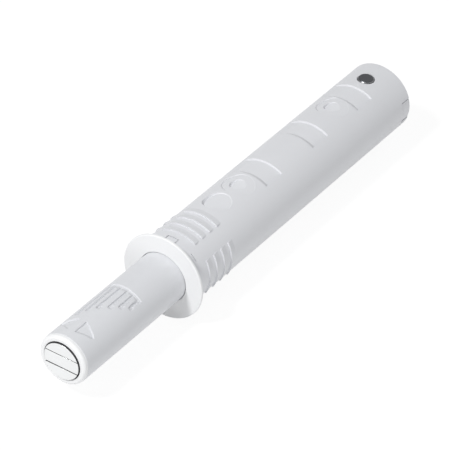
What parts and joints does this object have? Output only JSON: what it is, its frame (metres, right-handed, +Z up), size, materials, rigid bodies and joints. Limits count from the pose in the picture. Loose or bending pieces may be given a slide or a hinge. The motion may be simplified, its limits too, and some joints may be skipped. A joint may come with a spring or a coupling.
{
  "type": "push to open catch",
  "caption": "Round push to open catch for a drilled hole, with a barbed housing, a collar and a sprung plunger with a magnet tip.",
  "frame": {"origin": "centre of the collar's back face, on the catch's axis", "axes": "+Y along the axis into the panel, the plunger's tip points to -Y, +Z up through the marked side"},
  "size_m": [0.0122, 0.0717, 0.0122],
  "materials": {
    "grey_plastic": "fine satin",
    "grey_plastic_smooth": "fine satin",
    "white_plastic": "satin",
    "dark_steel": "turned and blackened",
    "steel": "zinc plated",
    "spring_steel": "drawn",
    "brass": "turned",
    "nickel_plate": "satin nickel",
    "soft_rubber": "matt"
  },
  "bodies": {
    "fixed": {"housing": "grey_plastic", "collar": "white_plastic", "end_plug": "grey_plastic", "cross_pin": "dark_steel", "guide_rod": "steel", "rear_spring_washer": "steel", "buffer_ring": "soft_rubber", "follower_spring": "spring_steel", "main_spring": "spring_steel"},
    "follower": {"follower_lever": "steel", "follower_pin": "steel"},
    "plunger": {"plunger": "grey_plastic_smooth", "front_spring_washer": "steel", "adjuster_nut": "brass"},
    "tip_slider": {"detent_ring": "white_plastic"},
    "tip": {"tip_head": "white_plastic", "magnet": "nickel_plate", "pole_plate_upper": "nickel_plate", "pole_plate_lower": "nickel_plate", "adjuster_screw": "steel"}
  },
  "joints": [
    {"name": "plunger_slide", "type": "slide", "parent": "fixed", "child": "plunger", "axis": [0, 1, 0], "range_m": [0, 0.02072], "stiffness_N_per_m": 110, "springref_m": -0.012, "deforming": ["main_spring"]},
    {"name": "follower_swing", "type": "hinge", "parent": "fixed", "child": "follower", "pos_m": [0, 0.0463, -0.0033], "axis": [0, 0, 1], "range_deg": [0, 3.2]},
    {"name": "tip_advance", "type": "slide", "parent": "plunger", "child": "tip_slider", "axis": [0, -1, 0], "range_m": [0, 0.0025]},
    {"name": "tip_turn", "type": "hinge", "parent": "tip_slider", "child": "tip", "pos_m": [0, -0.0205, 0], "axis": [0, -1, 0], "range_deg": [0, 360]}
  ],
  "couplings": [
    {"joint": "follower_swing", "follows": "plunger_slide", "rad_per_m": 2.5939},
    {"joint": "tip_turn", "follows": "tip_advance", "rad_per_m": 2513.3}
  ]
}
